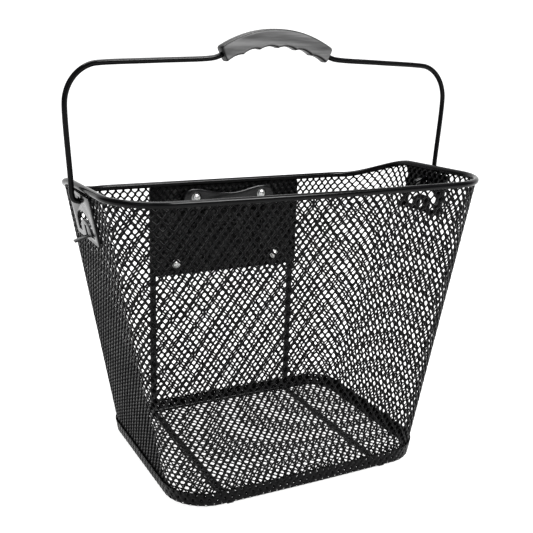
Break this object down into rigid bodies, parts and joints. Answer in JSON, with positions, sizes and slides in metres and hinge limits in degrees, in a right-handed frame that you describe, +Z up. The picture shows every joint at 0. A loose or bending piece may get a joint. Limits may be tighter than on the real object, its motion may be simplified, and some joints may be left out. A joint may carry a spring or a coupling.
{
  "type": "handlebar basket",
  "caption": "Mesh bicycle handlebar basket with tapered walls, a back mounting adapter and a swinging carrying handle with a moulded grip.",
  "frame": {"origin": "on the ground plane under the middle of the basket's width and of the whole depth, rim to adapter", "axes": "+Z up, +X across the basket to the right seen from the front of the bicycle looking back at the rider side, -Y towards the front of the bicycle, +Y towards the handlebar"},
  "size_m": [0.3676, 0.2164, 0.382],
  "materials": {
    "mesh_steel": "semi-gloss black powder coat on expanded steel mesh",
    "wire_steel": "gloss black powder coat on steel wire",
    "sheet_steel": "gloss black powder coat on steel sheet",
    "adapter_plastic": "satin black moulded nylon",
    "grip_plastic": "smooth dark grey moulded plastic",
    "zinc_steel": "bright zinc-plated steel"
  },
  "bodies": {
    "basket": {"wall_mesh": "mesh_steel", "floor_mesh": "mesh_steel", "rim_wire": "wire_steel", "base_wire": "wire_steel", "mount_plate": "sheet_steel", "adapter_body": "adapter_plastic", "clamp_bar": "adapter_plastic", "support_strip_left": "sheet_steel", "side_bracket_left": "sheet_steel", "support_strip_right": "sheet_steel", "side_bracket_right": "sheet_steel", "screw_top_left": "zinc_steel", "washer_inner_top_left": "zinc_steel", "washer_outer_top_left": "zinc_steel", "nut_top_left": "zinc_steel", "screw_top_right": "zinc_steel", "washer_inner_top_right": "zinc_steel", "washer_outer_top_right": "zinc_steel", "nut_top_right": "zinc_steel", "screw_low_left": "zinc_steel", "washer_inner_low_left": "zinc_steel", "washer_outer_low_left": "zinc_steel", "nut_low_left": "zinc_steel", "screw_low_right": "zinc_steel", "washer_inner_low_right": "zinc_steel", "washer_outer_low_right": "zinc_steel", "nut_low_right": "zinc_steel"},
    "handle": {"bail_wire": "wire_steel", "grip": "grip_plastic"}
  },
  "joints": [
    {"name": "handle_swing", "type": "hinge", "parent": "basket", "child": "handle", "pos_m": [0, -0.006, 0.246], "axis": [1, 0, 0], "range_deg": [-90, 105]}
  ]
}
